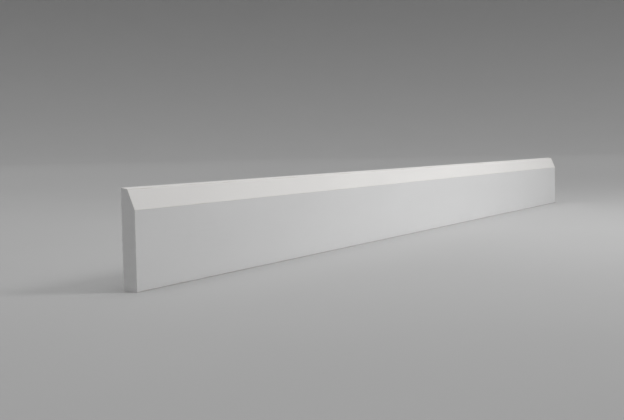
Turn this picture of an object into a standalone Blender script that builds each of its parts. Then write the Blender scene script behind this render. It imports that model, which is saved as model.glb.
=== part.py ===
"""Chamfered skirting board: a straight length of moulded board that covers the joint between an
interior wall and the floor. Metres, +Z up. X runs along the board, the moulded front looks towards
-Y, the flat back meets the wall on the +Y side, and the underside stands on z = 0."""

from math import atan2, radians, tan

import bpy
from mathutils import Matrix, Vector

# Sizes of the board, the height up to its back edge before that is eased
BOARD_LENGTH = 1.435
BOARD_HEIGHT = 0.095
BOARD_THICKNESS = 0.015

# The chamfer along the top of the front face, and the top that falls a little towards it
CHAMFER_DROP = 0.0205  # from the back edge down to the line where the upright front begins
TOP_WIDTH = 0.0071  # what the chamfer leaves of the top face, measured from the wall
TOP_FALL = 0.0015  # from the back edge down to the line where the chamfer begins

# The long edges are eased by sanding, and the sawn ends are left crisp
ARRIS_RADIUS = 0.0006
ARRIS_STEPS = 3

# Factory primer
PRIMER_COLOUR = (0.8, 0.8, 0.79, 1.0)
PRIMER_ROUGHNESS = 0.55


def clear_scene():
    """Remove every object, so that the board is alone."""
    for obj in list(bpy.data.objects):
        bpy.data.objects.remove(obj, do_unlink=True)


def primer_material():
    """White primer, satin and not metallic."""
    material = bpy.data.materials.new("white_primer")
    material.use_nodes = True
    shader = material.node_tree.nodes["Principled BSDF"]
    shader.inputs["Base Color"].default_value = PRIMER_COLOUR
    shader.inputs["Roughness"].default_value = PRIMER_ROUGHNESS
    shader.inputs["Metallic"].default_value = 0.0
    return material


def profile_corners():
    """Sharp corners of the section, anticlockwise, as (y, z)."""
    front = -BOARD_THICKNESS / 2
    wall = BOARD_THICKNESS / 2
    return [
        Vector((front, 0.0)),
        Vector((wall, 0.0)),
        Vector((wall, BOARD_HEIGHT)),
        Vector((wall - TOP_WIDTH, BOARD_HEIGHT - TOP_FALL)),
        Vector((front, BOARD_HEIGHT - CHAMFER_DROP)),
    ]


def eased_corner(before, corner, after, radius, steps):
    """Points of the arc that rounds one corner of an anticlockwise outline."""
    arriving = (corner - before).normalized()
    leaving = (after - corner).normalized()
    turn = atan2(arriving.cross(leaving), arriving.dot(leaving))
    inward = Vector((-arriving.y, arriving.x))
    start = corner - arriving * radius * tan(turn / 2)
    centre = start + inward * radius
    return [
        centre + Matrix.Rotation(turn * step / steps, 2) @ (start - centre)
        for step in range(steps + 1)
    ]


def eased_outline(corners, radius, steps):
    """The whole outline, with every corner rounded."""
    count = len(corners)
    outline = []
    for index, corner in enumerate(corners):
        before = corners[index - 1]
        after = corners[(index + 1) % count]
        outline.extend(eased_corner(before, corner, after, radius, steps))
    return outline


def make_board(collection):
    """The section drawn flat as a closed curve, extruded both ways from the middle of the board."""
    outline = eased_outline(profile_corners(), ARRIS_RADIUS, ARRIS_STEPS)
    section = bpy.data.curves.new("skirting_board", "CURVE")
    section.dimensions = "2D"
    section.fill_mode = "BOTH"
    section.extrude = BOARD_LENGTH / 2
    spline = section.splines.new("POLY")
    spline.points.add(len(outline) - 1)
    for point, place in zip(spline.points, outline):
        point.co = (place.x, place.y, 0.0, 1.0)
    spline.use_cyclic_u = True

    board = bpy.data.objects.new("skirting_board", section)
    # The section's own X becomes Y, its Y becomes Z, and the extrusion runs along X.
    board.rotation_euler = (radians(90), 0.0, radians(90))
    board.data.materials.append(primer_material())
    collection.objects.link(board)
    return board


def main():
    clear_scene()
    collection = bpy.data.collections.new("Skirting board")
    bpy.context.scene.collection.children.link(collection)
    make_board(collection)


main()
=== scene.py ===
"""Looks of a white primed skirting board with a chamfered top.

The board is one moulded strip. X runs along it, the moulded front looks towards -Y, the flat back
meets the wall on the +Y side, and it stands on z = 0. Everything is in metres.
"""

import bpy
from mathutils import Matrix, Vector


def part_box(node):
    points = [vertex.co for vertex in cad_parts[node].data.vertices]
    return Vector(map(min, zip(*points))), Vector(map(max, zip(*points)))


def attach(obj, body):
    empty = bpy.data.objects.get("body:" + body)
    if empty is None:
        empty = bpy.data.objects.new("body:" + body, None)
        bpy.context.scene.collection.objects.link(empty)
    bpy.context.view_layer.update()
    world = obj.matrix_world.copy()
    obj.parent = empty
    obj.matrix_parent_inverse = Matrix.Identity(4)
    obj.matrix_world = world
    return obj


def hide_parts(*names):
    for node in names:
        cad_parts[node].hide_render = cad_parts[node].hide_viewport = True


bl_info = {
    "name": "Primed skirting board",
    "version": (1, 0, 0),
    "blender": (4, 5, 0),
    "location": "View3D > Sidebar > Skirting board",
    "description": "A chamfered skirting board in white primer, on a pale studio floor",
    "category": "Object",
}

from math import atan2, cos, pi, radians, sin, tan

import bmesh
import bpy
from bpy.props import FloatProperty, FloatVectorProperty, PointerProperty
from mathutils import Matrix, Vector

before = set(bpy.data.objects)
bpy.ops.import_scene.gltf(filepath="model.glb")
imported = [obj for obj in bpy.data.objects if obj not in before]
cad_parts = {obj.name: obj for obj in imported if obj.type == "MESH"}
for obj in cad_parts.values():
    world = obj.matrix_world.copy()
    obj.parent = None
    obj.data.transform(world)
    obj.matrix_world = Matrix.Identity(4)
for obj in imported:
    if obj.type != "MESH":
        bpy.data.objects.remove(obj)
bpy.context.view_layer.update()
BOARD_LOW, BOARD_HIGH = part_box("skirting_board")

# Flat strips in the round of a long arris, and in the break along a sawn end
ARRIS_STEPS = 6
SAWN_STEPS = 2

# A direction is square to the ends if its share along X is more than this.
SQUARE = 0.99

# The board's material slots, in their order
FRONT, MACHINED, TOP, BACKING, SAWN = range(5)

# The saw leaves one arc each 1.4 mm, about the place of the blade's middle. Blender's wave
# repeats each 2 pi / 20 at a scale of one.
SAW_PITCH = 0.0014
SAW_SCALE = 2 * pi / (20 * SAW_PITCH)
SAW_MIDDLE = (0.0, 0.055, -0.075)

# Both softboxes are alike, and gridded so that the floor stays even
SOFTBOX_WIDTH = 0.6
SOFTBOX_SPREAD = radians(90)


# Settings that a user would change


class BoardShape(bpy.types.PropertyGroup):
    """The section of the board, inside the box of its solid."""

    height: FloatProperty(
        name="Height",
        description="Height of the back edge before it is eased",
        default=0.095,
        min=0.03,
        unit="LENGTH",
        precision=4,
    )
    chamfer_drop: FloatProperty(
        name="Chamfer drop",
        description="Height from the back edge down to the line where the upright front begins",
        default=0.0205,
        min=0.001,
        unit="LENGTH",
        precision=4,
    )
    top_width: FloatProperty(
        name="Top width",
        description="What the chamfer leaves of the top face, measured from the wall",
        default=0.0071,
        min=0.001,
        unit="LENGTH",
        precision=4,
    )
    top_fall: FloatProperty(
        name="Top fall",
        description="How far the top falls from the back edge to the chamfer",
        default=0.0015,
        min=0.0,
        unit="LENGTH",
        precision=4,
    )
    arris_radius: FloatProperty(
        name="Arris radius",
        description="Radius of the long edges, which are eased by sanding",
        default=0.0006,
        min=0.0001,
        unit="LENGTH",
        precision=5,
    )
    sawn_arris: FloatProperty(
        name="Sawn arris",
        description="Width of the tiny break along the edges of the sawn ends",
        default=0.00016,
        min=0.00005,
        unit="LENGTH",
        precision=5,
    )
    rub_reach: FloatProperty(
        name="Rub reach",
        description="How far from an arris the primer can be rubbed",
        default=0.0018,
        min=0.0005,
        unit="LENGTH",
        precision=4,
    )


class BoardFinish(bpy.types.PropertyGroup):
    """Colours and depths of the coat."""

    primer_colour: FloatVectorProperty(
        name="Primer colour",
        description="Colour of the factory primer at full thickness",
        default=(0.8, 0.8, 0.8),
        size=3,
        min=0.0,
        max=1.0,
        subtype="COLOR",
    )
    machined_colour: FloatVectorProperty(
        name="Machined colour",
        description="Colour of the primer on the machined chamfer and top, which is a trace warmer",
        default=(0.812, 0.8, 0.785),
        size=3,
        min=0.0,
        max=1.0,
        subtype="COLOR",
    )
    # Painted shade: this darkens the top's colour, to hold back the extra light that falls on it
    # from above
    top_painted_shade: FloatProperty(
        name="Top shade",
        description="How light the dulled top is, as a share of the machined colour",
        default=0.87,
        min=0.0,
        max=1.0,
        subtype="FACTOR",
    )
    thin_colour: FloatVectorProperty(
        name="Thin coat colour",
        description="Colour where the coat is thin and the fibreboard begins to show through",
        default=(0.62, 0.58, 0.52),
        size=3,
        min=0.0,
        max=1.0,
        subtype="COLOR",
    )
    roughness: FloatProperty(
        name="Roughness",
        description="Middle roughness of the satin coat on the front, the chamfer and the top",
        default=0.54,
        min=0.1,
        max=1.0,
        subtype="FACTOR",
    )
    wear: FloatProperty(
        name="Wear",
        description="How far the thin coat colour comes through where an arris is rubbed",
        default=0.6,
        min=0.0,
        max=1.0,
        subtype="FACTOR",
    )
    line_depth: FloatProperty(
        name="Coating line depth",
        description="Depth of the faint lines that run along the front",
        default=0.000016,
        min=0.0,
        unit="LENGTH",
        precision=6,
    )
    stipple_depth: FloatProperty(
        name="Stipple depth",
        description="Depth of the fine stipple of the sprayed primer",
        default=0.00002,
        min=0.0,
        unit="LENGTH",
        precision=6,
    )
    machined_relief: FloatProperty(
        name="Machined relief",
        description="How many times deeper the lines and the stipple are on the machined faces",
        default=1.6,
        min=0.0,
    )
    saw_depth: FloatProperty(
        name="Saw line depth",
        description="Depth of the arcs that the saw leaves on both ends",
        default=0.00002,
        min=0.0,
        unit="LENGTH",
        precision=6,
    )


class StudioStage(bpy.types.PropertyGroup):
    """The pale floor, its round sweep and the soft lights."""

    floor_colour: FloatVectorProperty(
        name="Floor colour",
        description="Colour of the seamless floor and its rising rim",
        default=(0.43, 0.43, 0.43),
        size=3,
        min=0.0,
        max=1.0,
        subtype="COLOR",
    )
    floor_radius: FloatProperty(
        name="Floor radius",
        description="Radius of the flat part of the floor",
        default=8.0,
        min=5.0,
        unit="LENGTH",
    )
    front_power: FloatProperty(
        name="Front light",
        description="Power of the gridded softbox in front of the board's middle",
        default=1.94,
        min=0.0,
        unit="POWER",
    )
    side_power: FloatProperty(
        name="Side light",
        description="Power of the gridded softbox further out, towards the board's right half",
        default=2.78,
        min=0.0,
        unit="POWER",
    )
    overhead: FloatProperty(
        name="Overhead light",
        description="Strength of the broad light from straight above",
        default=2.6,
        min=0.0,
    )
    daylight: FloatProperty(
        name="Daylight",
        description="Strength of the even light from all around",
        default=0.22,
        min=0.0,
    )


# Shader nodes


def add_node(tree, kind, label="", **values):
    """A new node with a label and with its settings, such as operation."""
    node = tree.nodes.new(kind)
    node.label = label
    for name, value in values.items():
        setattr(node, name, value)
    return node


def feed(tree, node, **sources):
    """Set or link a node's inputs by their names, with _ for a space."""
    for name, source in sources.items():
        socket = node.inputs[name.replace("_", " ")]
        if isinstance(source, bpy.types.NodeSocket):
            tree.links.new(source, socket)
        else:
            socket.default_value = source
    return node


def maths(tree, operation, first, second=None, third=None, clamp=False):
    """The output of a Math node on up to three values or sockets."""
    node = add_node(tree, "ShaderNodeMath", operation=operation, use_clamp=clamp)
    for socket, source in zip(node.inputs, (first, second, third)):
        if isinstance(source, bpy.types.NodeSocket):
            tree.links.new(source, socket)
        elif source is not None:
            socket.default_value = source
    return node.outputs["Value"]


def ramp(tree, value, low, high, start=0.0, end=1.0):
    """A value from low to high, eased smoothly and turned into one from start to end."""
    node = add_node(tree, "ShaderNodeMapRange", interpolation_type="SMOOTHSTEP")
    feed(tree, node, Value=value, From_Min=low, From_Max=high, To_Min=start, To_Max=end)
    return node.outputs["Result"]


def raised(tree, base, mask, amount):
    """A value that is raised, or lowered, by an amount where a mask says so."""
    return maths(tree, "MULTIPLY_ADD", mask, amount, base)


def noise(tree, vector, scale=1.0, detail=2.0, roughness=0.5):
    """The grey output of a Noise Texture."""
    node = add_node(tree, "ShaderNodeTexNoise", noise_dimensions="3D")
    feed(tree, node, Vector=vector, Scale=scale, Detail=detail, Roughness=roughness)
    return node.outputs["Fac"]


def stretched(tree, vector, along, across):
    """The place on the board, in steps of one length along X and of another across it."""
    steps = add_node(tree, "ShaderNodeCombineXYZ")
    for axis, step in zip("XYZ", (along, across, across)):
        feed(tree, steps, **{axis: maths(tree, "DIVIDE", 1.0, step)})
    scaled = add_node(tree, "ShaderNodeVectorMath", operation="MULTIPLY")
    tree.links.new(vector, scaled.inputs[0])
    tree.links.new(steps.outputs["Vector"], scaled.inputs[1])
    return scaled.outputs["Vector"]


def effect_group(name, inputs, output):
    """A group with a vector and the named values going in: its tree, what it is given, and the
    socket of the one value that it puts out."""
    tree = bpy.data.node_groups.new(name, "ShaderNodeTree")
    tree.interface.new_socket("Vector", in_out="INPUT", socket_type="NodeSocketVector")
    for label, default in inputs.items():
        socket = tree.interface.new_socket(label, in_out="INPUT", socket_type="NodeSocketFloat")
        socket.default_value = default
    tree.interface.new_socket(output, in_out="OUTPUT", socket_type="NodeSocketFloat")
    entry = tree.nodes.new("NodeGroupInput")
    leave = tree.nodes.new("NodeGroupOutput")
    return tree, entry.outputs, leave.inputs[output]


def coating_lines():
    """Fine lines along the board, left by the moulding cutter and the coating head."""
    tree, given, height = effect_group(
        "coating_lines", {"Run": 0.2, "Pitch": 0.001, "Depth": 0.00001}, "Height"
    )
    place = stretched(tree, given["Vector"], given["Run"], given["Pitch"])
    lines = noise(tree, place, detail=3.0, roughness=0.55)
    tree.links.new(maths(tree, "MULTIPLY", lines, given["Depth"]), height)
    return tree


def primer_stipple():
    """The low, rounded texture of a sprayed coat, drawn out a little along the board."""
    tree, given, height = effect_group(
        "primer_stipple", {"Length": 0.003, "Width": 0.001, "Depth": 0.00001}, "Height"
    )
    place = stretched(tree, given["Vector"], given["Length"], given["Width"])
    grains = noise(tree, place, detail=1.0, roughness=0.4)
    rounded = ramp(tree, grains, low=0.3, high=0.75)
    tree.links.new(maths(tree, "MULTIPLY", rounded, given["Depth"]), height)
    return tree


def film_clouds():
    """Broad, soft changes in the thickness of the coat, about one half on average."""
    tree, given, mask = effect_group("film_clouds", {"Length": 0.12, "Width": 0.03}, "Mask")
    place = stretched(tree, given["Vector"], given["Length"], given["Width"])
    tree.links.new(noise(tree, place, detail=3.0, roughness=0.55), mask)
    return tree


def rubbed_arris():
    """Where an arris is rubbed: a broken line on the edge that fades out across the strip."""
    tree, given, mask = effect_group(
        "rubbed_arris", {"Arris": 0.0, "Break Length": 0.02, "Reach": 0.5}, "Mask"
    )
    break_width = 0.0012
    highest_limit = 0.75
    place = stretched(tree, given["Vector"], given["Break Length"], break_width)
    breaks = noise(tree, place, detail=4.0, roughness=0.6)
    broken = maths(tree, "SUBTRACT", given["Arris"], breaks)
    limit = maths(tree, "SUBTRACT", highest_limit, given["Reach"])
    past_limit = maths(tree, "SUBTRACT", broken, limit)
    tree.links.new(ramp(tree, past_limit, low=0.0, high=0.5), mask)
    return tree


def handling_marks():
    """Faint smudges and scuffs from hands and from stacking, in a few places only."""
    tree, given, mask = effect_group("handling_marks", {"Length": 0.09, "Width": 0.02}, "Mask")
    streak_length = 0.03
    streak_width = 0.0016
    patches_at = stretched(tree, given["Vector"], given["Length"], given["Width"])
    patches = ramp(tree, noise(tree, patches_at), low=0.56, high=0.74)
    streaks_at = stretched(tree, given["Vector"], streak_length, streak_width)
    streaks = ramp(tree, noise(tree, streaks_at, detail=4.0), low=0.42, high=0.66, start=0.25)
    tree.links.new(maths(tree, "MULTIPLY", patches, streaks), mask)
    return tree


def dust_nibs():
    """Specks of dust under the primer: low domes, sparse and scattered."""
    tree, given, height = effect_group(
        "dust_nibs", {"Spacing": 0.03, "Radius": 0.0003, "Depth": 0.00002}, "Height"
    )
    cells = add_node(tree, "ShaderNodeTexVoronoi", feature="F1")
    place = stretched(tree, given["Vector"], given["Spacing"], given["Spacing"])
    feed(tree, cells, Vector=place, Scale=1.0, Randomness=1.0)
    distance = maths(tree, "MULTIPLY", cells.outputs["Distance"], given["Spacing"])
    share = maths(tree, "DIVIDE", distance, given["Radius"])
    dome = maths(tree, "SUBTRACT", 1.0, maths(tree, "MULTIPLY", share, share), clamp=True)
    tree.links.new(maths(tree, "MULTIPLY", dome, given["Depth"]), height)
    return tree


EFFECTS = (coating_lines, primer_stipple, film_clouds, rubbed_arris, handling_marks, dust_nibs)


def effect(tree, name, place, **values):
    """The output of one effect group in a material, with that material's own values."""
    node = add_node(tree, "ShaderNodeGroup", label=name, node_tree=bpy.data.node_groups[name])
    feed(tree, node, Vector=place, **values)
    return node.outputs[0]


def mixed_colour(tree, mask, first, second, strength=1.0):
    """The second colour over the first, as strongly as given where the mask is full."""
    node = add_node(tree, "ShaderNodeMix", data_type="RGBA", clamp_factor=True)
    colours = [socket for socket in node.inputs if socket.type == "RGBA"]
    for socket, source in zip(colours, (first, second)):
        if isinstance(source, bpy.types.NodeSocket):
            tree.links.new(source, socket)
        else:
            socket.default_value = (*source, 1.0)
    tree.links.new(maths(tree, "MULTIPLY", mask, strength), node.inputs["Factor"])
    return next(socket for socket in node.outputs if socket.type == "RGBA")


def shade(colour, share):
    """A colour made darker or lighter by a share."""
    return tuple(min(1.0, channel * share) for channel in colour)


def varied_colour(tree, tone, colour, darkest, lightest):
    """A colour that goes from a darker to a lighter share of itself as a noise's tone rises."""
    mask = ramp(tree, tone, low=0.3, high=0.7)
    return mixed_colour(tree, mask, shade(colour, darkest), shade(colour, lightest))


def new_material(name):
    """A material with its tree, its shader and the place on the piece."""
    material = bpy.data.materials.new(name)
    material.use_nodes = True
    tree = material.node_tree
    shader = tree.nodes["Principled BSDF"]
    place = add_node(tree, "ShaderNodeTexCoord").outputs["Object"]
    return material, tree, shader, place


def bump(tree, shader, reliefs):
    """Give the shader's surface the sum of some reliefs, whose heights are in metres."""
    height = reliefs[0]
    for relief in reliefs[1:]:
        height = maths(tree, "ADD", height, relief)
    node = add_node(tree, "ShaderNodeBump")
    feed(tree, node, Strength=1.0, Distance=1.0, Height=height)
    tree.links.new(node.outputs["Normal"], shader.inputs["Normal"])


def arris_value(tree):
    """One on an arris, and nothing where its strip ends, from the mesh's own attribute."""
    node = add_node(tree, "ShaderNodeAttribute", attribute_name="arris", attribute_type="GEOMETRY")
    return node.outputs["Fac"]


def satin_primer(name, primer, finish, relief):
    """An even satin coat with faint lines along it, for the faces that show on the wall.

    The relief says how many times deeper the lines and the stipple are than on the front.
    """
    material, tree, shader, place = new_material(name)
    clouds = effect(tree, "film_clouds", place, Length=0.14, Width=0.035)
    marks = effect(tree, "handling_marks", place, Length=0.11, Width=0.03)
    rubbed = effect(
        tree, "rubbed_arris", place, Arris=arris_value(tree), Break_Length=0.03, Reach=0.5
    )
    film = varied_colour(tree, clouds, primer, darkest=0.994, lightest=1.006)
    smudge = shade(primer, 0.9)
    marked = mixed_colour(tree, marks, film, smudge, strength=0.12)
    worn = mixed_colour(tree, rubbed, marked, tuple(finish.thin_colour), strength=finish.wear)
    tree.links.new(worn, shader.inputs["Base Color"])

    change = 0.04
    smoothest = finish.roughness - change
    roughest = finish.roughness + change
    satin = ramp(tree, clouds, low=0.3, high=0.7, start=smoothest, end=roughest)
    smudged = raised(tree, satin, marks, amount=0.08)
    polished = raised(tree, smudged, rubbed, amount=-0.1)
    tree.links.new(polished, shader.inputs["Roughness"])

    lines = effect(
        tree, "coating_lines", place, Run=0.25, Pitch=0.0012, Depth=finish.line_depth * relief
    )
    stipple = effect(
        tree, "primer_stipple", place,
        Length=0.0024, Width=0.0009, Depth=finish.stipple_depth * relief,
    )
    nibs = effect(tree, "dust_nibs", place, Spacing=0.035, Radius=0.00035, Depth=0.00003)
    bump(tree, shader, (lines, stipple, nibs))
    return material


def front_primer(finish):
    """The upright front, which is the pressed and sanded face of the fibreboard."""
    colour = tuple(finish.primer_colour)
    return satin_primer("white_primer_front", colour, finish, relief=1.0)


def machined_primer(finish):
    """The chamfer, which the cutter opened, so that the coat lies less smooth."""
    colour = tuple(finish.machined_colour)
    return satin_primer("white_primer_machined", colour, finish, relief=finish.machined_relief)


def top_primer(finish):
    """The top, which is machined like the chamfer, in a colour darkened by painted shade that holds
    back the light falling on it from above.
    """
    # Painted shade: the machined colour made darker for the top
    colour = shade(tuple(finish.machined_colour), finish.top_painted_shade)
    return satin_primer("white_primer_top", colour, finish, relief=finish.machined_relief)


def backing_primer(finish):
    """The back and the underside: a thinner, rougher coat over sanded board."""
    material, tree, shader, place = new_material("white_primer_backing")
    primer = tuple(finish.primer_colour)
    clouds = effect(tree, "film_clouds", place, Length=0.09, Width=0.02)
    marks = effect(tree, "handling_marks", place, Length=0.16, Width=0.02)
    rubbed = effect(
        tree, "rubbed_arris", place, Arris=arris_value(tree), Break_Length=0.02, Reach=0.55
    )
    film = varied_colour(tree, clouds, primer, darkest=0.96, lightest=0.99)
    smudge = shade(primer, 0.86)
    marked = mixed_colour(tree, marks, film, smudge, strength=0.25)
    worn = mixed_colour(tree, rubbed, marked, tuple(finish.thin_colour), strength=finish.wear)
    tree.links.new(worn, shader.inputs["Base Color"])

    step = 0.1
    smoothest = finish.roughness + step
    roughest = smoothest + step
    matt = ramp(tree, clouds, low=0.3, high=0.7, start=smoothest, end=roughest)
    handled = raised(tree, matt, marks, amount=-0.08)
    tree.links.new(handled, shader.inputs["Roughness"])

    scratches = effect(tree, "coating_lines", place, Run=0.06, Pitch=0.0006, Depth=0.000016)
    stipple = effect(
        tree, "primer_stipple", place, Length=0.0022, Width=0.0014, Depth=0.000014
    )
    nibs = effect(tree, "dust_nibs", place, Spacing=0.025, Radius=0.0004, Depth=0.00003)
    bump(tree, shader, (scratches, stipple, nibs))
    return material


def sawn_primer(finish):
    """The sawn ends: sealed white, matt, with the saw's faint arcs and an open fibrous core."""
    material, tree, shader, place = new_material("white_primer_sawn")
    primer = tuple(finish.primer_colour)
    thin = tuple(finish.thin_colour)
    axes = add_node(tree, "ShaderNodeSeparateXYZ")
    feed(tree, axes, Vector=place)
    half_thickness = (BOARD_HIGH.y - BOARD_LOW.y) / 2
    depth_in = maths(tree, "DIVIDE", maths(tree, "ABSOLUTE", axes.outputs["Y"]), half_thickness)
    core = ramp(tree, depth_in, low=0.5, high=0.95, start=1.0, end=0.0)

    layers = add_node(tree, "ShaderNodeMapping", label="fibres lie in layers along the faces")
    fibre_length = 0.0012
    fibre_width = 0.0003
    feed(
        tree, layers, Vector=place,
        Scale=(1 / fibre_length, 1 / fibre_width, 1 / fibre_length),
    )
    fibres = noise(tree, layers.outputs["Vector"], detail=3.0, roughness=0.6)
    blade = add_node(
        tree, "ShaderNodeMapping", label="arcs about the middle of the saw blade",
        vector_type="TEXTURE",
    )
    feed(tree, blade, Vector=place, Location=SAW_MIDDLE)
    saw = add_node(tree, "ShaderNodeTexWave", wave_type="RINGS", rings_direction="X")
    feed(tree, saw, Vector=blade.outputs["Vector"], Scale=SAW_SCALE, Distortion=0.6, Detail=2.0)

    clouds = effect(tree, "film_clouds", place, Length=0.01, Width=0.008)
    rubbed = effect(
        tree, "rubbed_arris", place, Arris=arris_value(tree), Break_Length=0.004, Reach=0.5
    )
    film = varied_colour(tree, clouds, primer, darkest=0.97, lightest=1.0)
    soaked_coat = shade(primer, 0.93)
    soaked = mixed_colour(tree, core, film, soaked_coat, strength=0.4)
    holes = ramp(tree, fibres, low=0.3, high=0.46, start=1.0, end=0.0)
    pores = maths(tree, "MULTIPLY", core, holes)
    pitted = mixed_colour(tree, pores, soaked, thin, strength=0.25)
    worn = mixed_colour(tree, rubbed, pitted, thin, strength=finish.wear / 2)
    tree.links.new(worn, shader.inputs["Base Color"])
    matt = ramp(tree, core, low=0.0, high=1.0, start=0.62, end=0.75)
    tree.links.new(matt, shader.inputs["Roughness"])

    skin_depth = 0.00001
    deeper_in_core = 0.00003
    fibre_depth = raised(tree, skin_depth, core, deeper_in_core)
    fibre_relief = maths(tree, "MULTIPLY", fibres, fibre_depth)
    saw_relief = maths(tree, "MULTIPLY", saw.outputs["Fac"], finish.saw_depth)
    bump(tree, shader, (fibre_relief, saw_relief))
    return material


# The board


def section_corners(shape):
    """The five sharp corners of the section at the left end, from the front foot round."""
    left = BOARD_LOW.x
    return [
        Vector((left, BOARD_LOW.y, BOARD_LOW.z)),
        Vector((left, BOARD_HIGH.y, BOARD_LOW.z)),
        Vector((left, BOARD_HIGH.y, shape.height)),
        Vector((left, BOARD_HIGH.y - shape.top_width, shape.height - shape.top_fall)),
        Vector((left, BOARD_LOW.y, shape.height - shape.chamfer_drop)),
    ]


def runs_along(edge):
    """True for an edge that lies along the board."""
    return abs((edge.verts[1].co - edge.verts[0].co).normalized().x) > SQUARE


def ease_long_arrises(bm, radius):
    """Round each long edge to the same radius, whatever the angle between its faces."""
    sharp = [edge for edge in bm.edges if runs_along(edge)]
    for edge in sharp:
        tangent = radius * tan(edge.calc_face_angle() / 2)
        bmesh.ops.bevel(
            bm,
            geom=[edge],
            offset=tangent,
            offset_type="OFFSET",
            affect="EDGES",
            segments=ARRIS_STEPS,
            profile=0.5,
            material=-1,
        )


def break_sawn_arrises(bm, width):
    """Take the sharpness off the edges of both ends."""
    rims = [edge for edge in bm.edges if not runs_along(edge)]
    bmesh.ops.bevel(
        bm,
        geom=rims,
        offset=width,
        offset_type="OFFSET",
        affect="EDGES",
        segments=SAWN_STEPS,
        profile=0.5,
        material=-1,
    )


def mark_arrises(bm, reach, sawn_reach):
    """Border each flat face with a strip. The arris value is one on the arrises, and falls to
    nothing across the strip."""
    arris = bm.verts.layers.float.new("arris")
    for vert in bm.verts:
        vert[arris] = 1.0
    widest_arc = 0.002
    widest_arc_area = widest_arc * (BOARD_HIGH.x - BOARD_LOW.x)
    ends = [face for face in bm.faces if abs(face.normal.x) > SQUARE]
    flats = [face for face in bm.faces if face not in ends and face.calc_area() > widest_arc_area]
    for faces, width in ((flats, reach), (ends, sawn_reach)):
        bmesh.ops.inset_individual(bm, faces=faces, thickness=width, use_even_offset=True)
        for face in faces:
            for vert in face.verts:
                vert[arris] = 0.0


def give_finishes(bm, shape):
    """Each face takes the finish of the side that it looks to, the eased edges too."""
    half_way = cos(radians(45))
    chamfer_run = BOARD_HIGH.y - BOARD_LOW.y - shape.top_width
    chamfer_lean = atan2(chamfer_run, shape.chamfer_drop - shape.top_fall)
    top_lean = atan2(shape.top_width, shape.top_fall)
    half_up_to_chamfer = sin(chamfer_lean / 2)
    half_up_to_top = sin((chamfer_lean + top_lean) / 2)
    for face in bm.faces:
        face.smooth = True
        if abs(face.normal.x) > half_way:
            face.material_index = SAWN
        elif face.normal.y > half_way or face.normal.z < -half_way:
            face.material_index = BACKING
        elif face.normal.z > half_up_to_top:
            face.material_index = TOP
        elif face.normal.z > half_up_to_chamfer:
            face.material_index = MACHINED
        else:
            face.material_index = FRONT


def lay_bake_map(bm, shape):
    """One band of the map for each long side, and a column beside them for the sawn ends.

    The bands share out the map's height by their widths, so that the lines along the board keep
    a fine grain across it, where one scale both ways would leave each band a few pixels high.
    """
    corners = section_corners(shape)
    sides = list(zip(corners, corners[1:] + corners[:1]))
    gap = 0.008
    column = 0.06
    length = BOARD_HIGH.x - BOARD_LOW.x
    height = BOARD_HIGH.z - BOARD_LOW.z
    thickness = BOARD_HIGH.y - BOARD_LOW.y
    around = sum((end - start).length for start, end in sides)
    per_metre = (1.0 - gap * (len(sides) + 1)) / around
    floors = []
    floor = gap
    for start, end in sides:
        floors.append(floor)
        floor += (end - start).length * per_metre + gap
    outward = [(end - start).cross(Vector((1.0, 0.0, 0.0))).normalized() for start, end in sides]
    uv = bm.loops.layers.uv.new("OFBake")
    half_height = 0.5
    for face in bm.faces:
        if face.material_index == SAWN:
            right_end = face.normal.x > 0.0
            foot = gap + (half_height if right_end else 0.0)
            for loop in face.loops:
                place = loop.vert.co - BOARD_LOW
                share = place.y / thickness if right_end else 1.0 - place.y / thickness
                across = 1.0 - column + (column - gap) * share
                up = foot + (half_height - 2 * gap) * place.z / height
                loop[uv].uv = (across, up)
            continue
        side = max(range(len(sides)), key=lambda index: outward[index].dot(face.normal))
        start, end = sides[side]
        along = (end - start).normalized()
        for loop in face.loops:
            place = loop.vert.co - start
            run = gap + (1.0 - column - 2 * gap) * (1.0 - place.x / length)
            loop[uv].uv = (run, floors[side] + place.dot(along) * per_metre)


def primed_board(shape, finish):
    """The whole board as one closed mesh at its place in the frame."""
    bm = bmesh.new()
    end = bm.faces.new([bm.verts.new(corner) for corner in section_corners(shape)])
    run = bmesh.ops.extrude_face_region(bm, geom=[end])
    moved = [item for item in run["geom"] if isinstance(item, bmesh.types.BMVert)]
    bmesh.ops.translate(bm, verts=moved, vec=(BOARD_HIGH.x - BOARD_LOW.x, 0.0, 0.0))
    bmesh.ops.recalc_face_normals(bm, faces=bm.faces)
    ease_long_arrises(bm, shape.arris_radius)
    break_sawn_arrises(bm, shape.sawn_arris)
    sawn_reach = 0.6 * shape.arris_radius
    mark_arrises(bm, shape.rub_reach, sawn_reach)
    give_finishes(bm, shape)
    lay_bake_map(bm, shape)
    if any(not edge.is_manifold for edge in bm.edges):
        raise RuntimeError("the board's mesh is open")
    mesh = bpy.data.meshes.new("primed_board")
    bm.to_mesh(mesh)
    bm.free()
    for make_primer in (front_primer, machined_primer, top_primer, backing_primer, sawn_primer):
        mesh.materials.append(make_primer(finish))
    board = bpy.data.objects.new("primed_board", mesh)
    bpy.context.scene.collection.objects.link(board)
    weighted = board.modifiers.new("flat_faces_stay_flat", "WEIGHTED_NORMAL")
    weighted.mode = "FACE_AREA"
    weighted.weight = 100
    weighted.keep_sharp = False
    return board


# The stage


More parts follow.
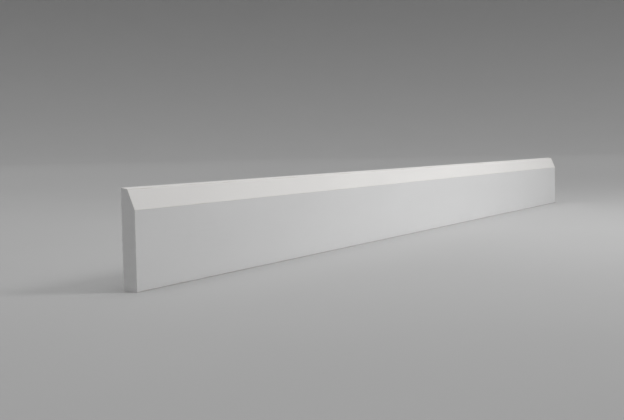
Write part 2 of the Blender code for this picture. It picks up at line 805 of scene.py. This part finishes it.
def studio_floor(stage):
    """A flat round floor that rises at its rim, without a line between floor and backdrop."""
    rim_radius = 2.5
    rim_steps = 12
    wall_height = 3.0
    spin_steps = 96
    merge_distance = 0.0001
    flat = stage.floor_radius
    profile = [Vector((0.0, 0.0, 0.0)), Vector((flat, 0.0, 0.0))]
    for step in range(1, rim_steps + 1):
        turn = radians(90) * step / rim_steps
        profile.append(Vector((flat + rim_radius * sin(turn), 0.0, rim_radius * (1 - cos(turn)))))
    profile.append(profile[-1] + Vector((0.0, 0.0, wall_height)))
    bm = bmesh.new()
    verts = [bm.verts.new(point) for point in profile]
    edges = [bm.edges.new(pair) for pair in zip(verts, verts[1:])]
    bmesh.ops.spin(
        bm,
        geom=verts + edges,
        cent=(0.0, 0.0, 0.0),
        axis=(0.0, 0.0, 1.0),
        angle=2 * pi,
        steps=spin_steps,
        use_merge=True,
    )
    bmesh.ops.remove_doubles(bm, verts=bm.verts, dist=merge_distance)
    bmesh.ops.recalc_face_normals(bm, faces=bm.faces)
    for face in bm.faces:
        face.smooth = True
    if sum(face.normal.z for face in bm.faces) < 0.0:
        bmesh.ops.reverse_faces(bm, faces=bm.faces)
    mesh = bpy.data.meshes.new("studio_floor")
    bm.to_mesh(mesh)
    bm.free()

    material, tree, shader, place = new_material("studio_floor")
    tone = noise(tree, place, scale=3.0, detail=4.0)
    colour = varied_colour(tree, tone, tuple(stage.floor_colour), darkest=0.99, lightest=1.01)
    tree.links.new(colour, shader.inputs["Base Color"])
    matt = ramp(tree, tone, low=0.3, high=0.7, start=0.78, end=0.86)
    tree.links.new(matt, shader.inputs["Roughness"])
    mesh.materials.append(material)
    floor = bpy.data.objects.new("studio_floor", mesh)
    bpy.context.scene.collection.objects.link(floor)
    return floor


def softbox(name, out, up, along, power):
    """A square light in front of the board, aimed straight back at it. It isn't seen itself."""
    aim_height = 0.05
    place = Vector((along, -out, up))
    target = Vector((along, 0.0, aim_height))
    lamp = bpy.data.lights.new(name, "AREA")
    lamp.shape = "SQUARE"
    lamp.size = SOFTBOX_WIDTH
    lamp.spread = SOFTBOX_SPREAD
    lamp.energy = power
    light = bpy.data.objects.new(name, lamp)
    light.location = place
    light.rotation_euler = (target - place).to_track_quat("-Z", "Y").to_euler()
    light.visible_camera = False
    bpy.context.scene.collection.objects.link(light)


def studio_daylight(stage):
    """Even light from all around, and a broad patch of light from straight above."""
    world = bpy.data.worlds.new("studio_daylight")
    world.use_nodes = True
    tree = world.node_tree
    white = (1.0, 1.0, 1.0, 1.0)
    around = tree.nodes["Background"]
    feed(tree, around, Color=white, Strength=stage.daylight)

    # In a world, Object coordinates are the direction that is looked in.
    direction = add_node(tree, "ShaderNodeTexCoord").outputs["Object"]
    axes = add_node(tree, "ShaderNodeSeparateXYZ")
    feed(tree, axes, Vector=direction)
    upward = maths(tree, "MAXIMUM", axes.outputs["Z"], 0.0)
    gathering = 8.0
    gathered = maths(tree, "POWER", upward, gathering)
    above = add_node(tree, "ShaderNodeBackground", label="straight above")
    feed(tree, above, Color=white, Strength=maths(tree, "MULTIPLY", gathered, stage.overhead))
    both = add_node(tree, "ShaderNodeAddShader")
    tree.links.new(around.outputs["Background"], both.inputs[0])
    tree.links.new(above.outputs["Background"], both.inputs[1])
    tree.links.new(both.outputs["Shader"], tree.nodes["World Output"].inputs["Surface"])
    bpy.context.scene.world = world


def photograph_camera():
    """The camera: a 60 mm lens low down at the near end, looking along the front of the board."""
    data = bpy.data.cameras.new("camera")
    data.sensor_fit = "HORIZONTAL"
    data.sensor_width = 36.0
    data.lens = 60.0
    data.clip_start = 0.01
    data.clip_end = 60.0
    camera = bpy.data.objects.new("camera", data)
    place = (-1.4662, -0.5868, 0.13)
    turn_from_back = radians(61.96)
    look_down = radians(3.56)
    lean = radians(-1.03)
    camera.matrix_world = (
        Matrix.Translation(place)
        @ Matrix.Rotation(-turn_from_back, 4, "Z")
        @ Matrix.Rotation(radians(90) - look_down, 4, "X")
        @ Matrix.Rotation(lean, 4, "Z")
    )
    bpy.context.scene.collection.objects.link(camera)
    bpy.context.scene.camera = camera


# Operators and panel


class SKIRTING_OT_primed_board(bpy.types.Operator):
    """Model the primed board in the place of its solid"""

    bl_idname = "skirting.primed_board"
    bl_label = "Primed board"
    bl_options = {"REGISTER", "UNDO"}

    def execute(self, context):
        for make_group in EFFECTS:
            make_group()
        board = primed_board(context.scene.skirting_shape, context.scene.skirting_finish)
        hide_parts("skirting_board")
        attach(board, "root")
        return {"FINISHED"}


class SKIRTING_OT_studio_stage(bpy.types.Operator):
    """Lay the pale floor, hang the soft lights and set up the camera"""

    bl_idname = "skirting.studio_stage"
    bl_label = "Studio stage"
    bl_options = {"REGISTER", "UNDO"}

    def execute(self, context):
        stage = context.scene.skirting_stage
        studio_floor(stage)
        softbox("front_light", out=1.2, up=1.1, along=0.0, power=stage.front_power)
        softbox("side_light", out=1.6, up=1.6, along=0.3, power=stage.side_power)
        studio_daylight(stage)
        photograph_camera()
        context.scene.view_settings.view_transform = "Standard"
        return {"FINISHED"}


class SKIRTING_PT_panel(bpy.types.Panel):
    """The board and its stage, in the 3D view's sidebar"""

    bl_label = "Skirting board"
    bl_idname = "SKIRTING_PT_panel"
    bl_space_type = "VIEW_3D"
    bl_region_type = "UI"
    bl_category = "Skirting board"

    def draw(self, context):
        layout = self.layout
        scene = context.scene
        for operator, settings in (
            (SKIRTING_OT_primed_board, (scene.skirting_shape, scene.skirting_finish)),
            (SKIRTING_OT_studio_stage, (scene.skirting_stage,)),
        ):
            layout.operator(operator.bl_idname)
            for group in settings:
                for name in group.__annotations__:
                    layout.prop(group, name)


CLASSES = (
    BoardShape,
    BoardFinish,
    StudioStage,
    SKIRTING_OT_primed_board,
    SKIRTING_OT_studio_stage,
    SKIRTING_PT_panel,
)


def register():
    for cls in CLASSES:
        bpy.utils.register_class(cls)
    bpy.types.Scene.skirting_shape = PointerProperty(type=BoardShape)
    bpy.types.Scene.skirting_finish = PointerProperty(type=BoardFinish)
    bpy.types.Scene.skirting_stage = PointerProperty(type=StudioStage)


def unregister():
    del bpy.types.Scene.skirting_stage
    del bpy.types.Scene.skirting_finish
    del bpy.types.Scene.skirting_shape
    for cls in reversed(CLASSES):
        bpy.utils.unregister_class(cls)


def main():
    register()
    bpy.ops.skirting.primed_board()
    bpy.ops.skirting.studio_stage()


if __name__ == "__main__":
    main()
